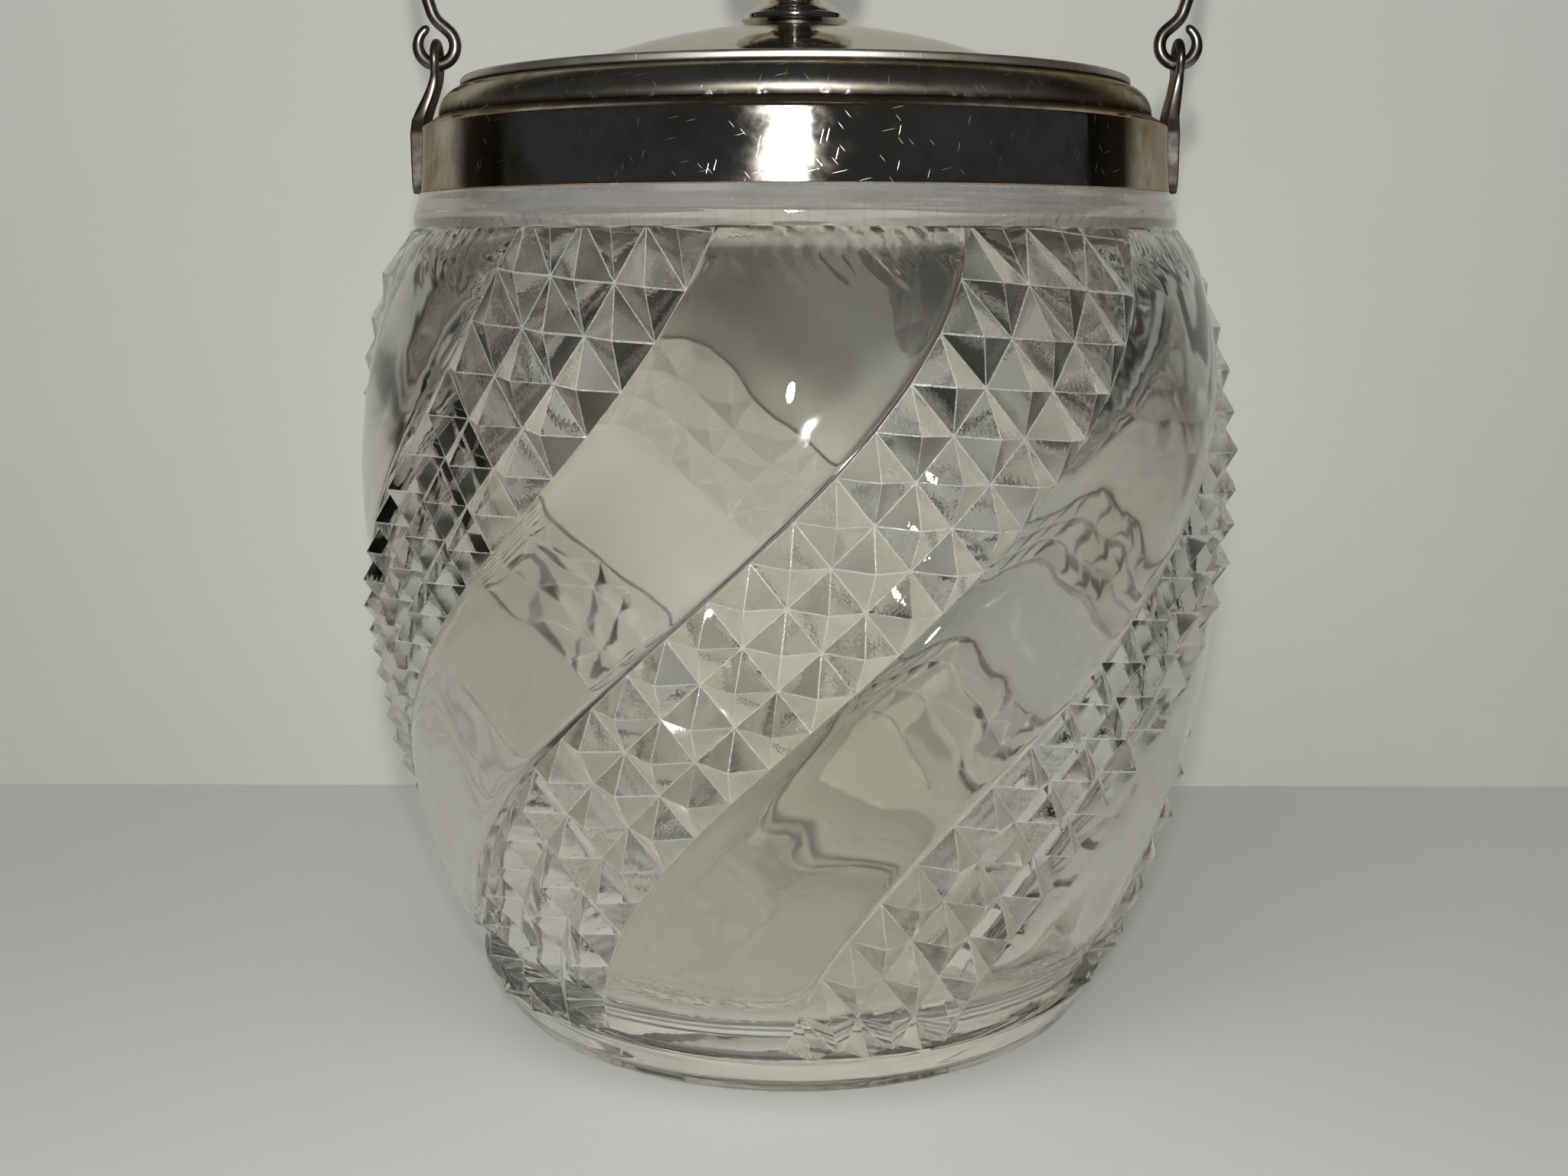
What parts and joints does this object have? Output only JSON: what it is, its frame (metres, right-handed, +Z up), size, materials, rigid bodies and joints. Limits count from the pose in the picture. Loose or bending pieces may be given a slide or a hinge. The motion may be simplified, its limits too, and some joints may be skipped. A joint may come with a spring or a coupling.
{
  "type": "biscuit jar",
  "caption": "Swirled glass biscuit jar with a plated mount, a lift-off domed lid with finial, and a wire swing handle hooked into soldered lugs.",
  "frame": {"origin": "on the surface that the jar stands on, at the jar's own axis", "axes": "+Z up along the jar's axis, +X through the right-hand lug, -Y towards the viewer"},
  "size_m": [0.1352, 0.1352, 0.2299],
  "materials": {
    "clear_glass": "clear moulded glass, cut-looking diamond bands",
    "plaster": "set plaster",
    "silver_plate": "polished silver plate with fine scratches and light tarnish",
    "tarnished_plate": "worn, tarnished silver plate",
    "brass": "dull turned brass"
  },
  "bodies": {
    "jar": {"glass_jar": "clear_glass", "rim_bedding": "plaster", "collar_band": "silver_plate", "collar_moulding": "silver_plate", "left_lug": "tarnished_plate", "right_lug": "tarnished_plate"},
    "bail": {"bail_handle": "tarnished_plate"},
    "lid": {"lid_cover": "silver_plate", "lid_bezel": "silver_plate", "finial_knob": "silver_plate", "finial_stud": "brass", "finial_washer": "brass", "finial_nut": "brass"}
  },
  "joints": [
    {"name": "bail_swing", "type": "hinge", "parent": "jar", "child": "bail", "pos_m": [0, 0, 0.1437], "axis": [1, 0, 0], "range_deg": [-125, 125]},
    {"name": "lid_lift", "type": "slide", "parent": "jar", "child": "lid", "axis": [0, 0, 1], "range_m": [0, 0.045]}
  ]
}
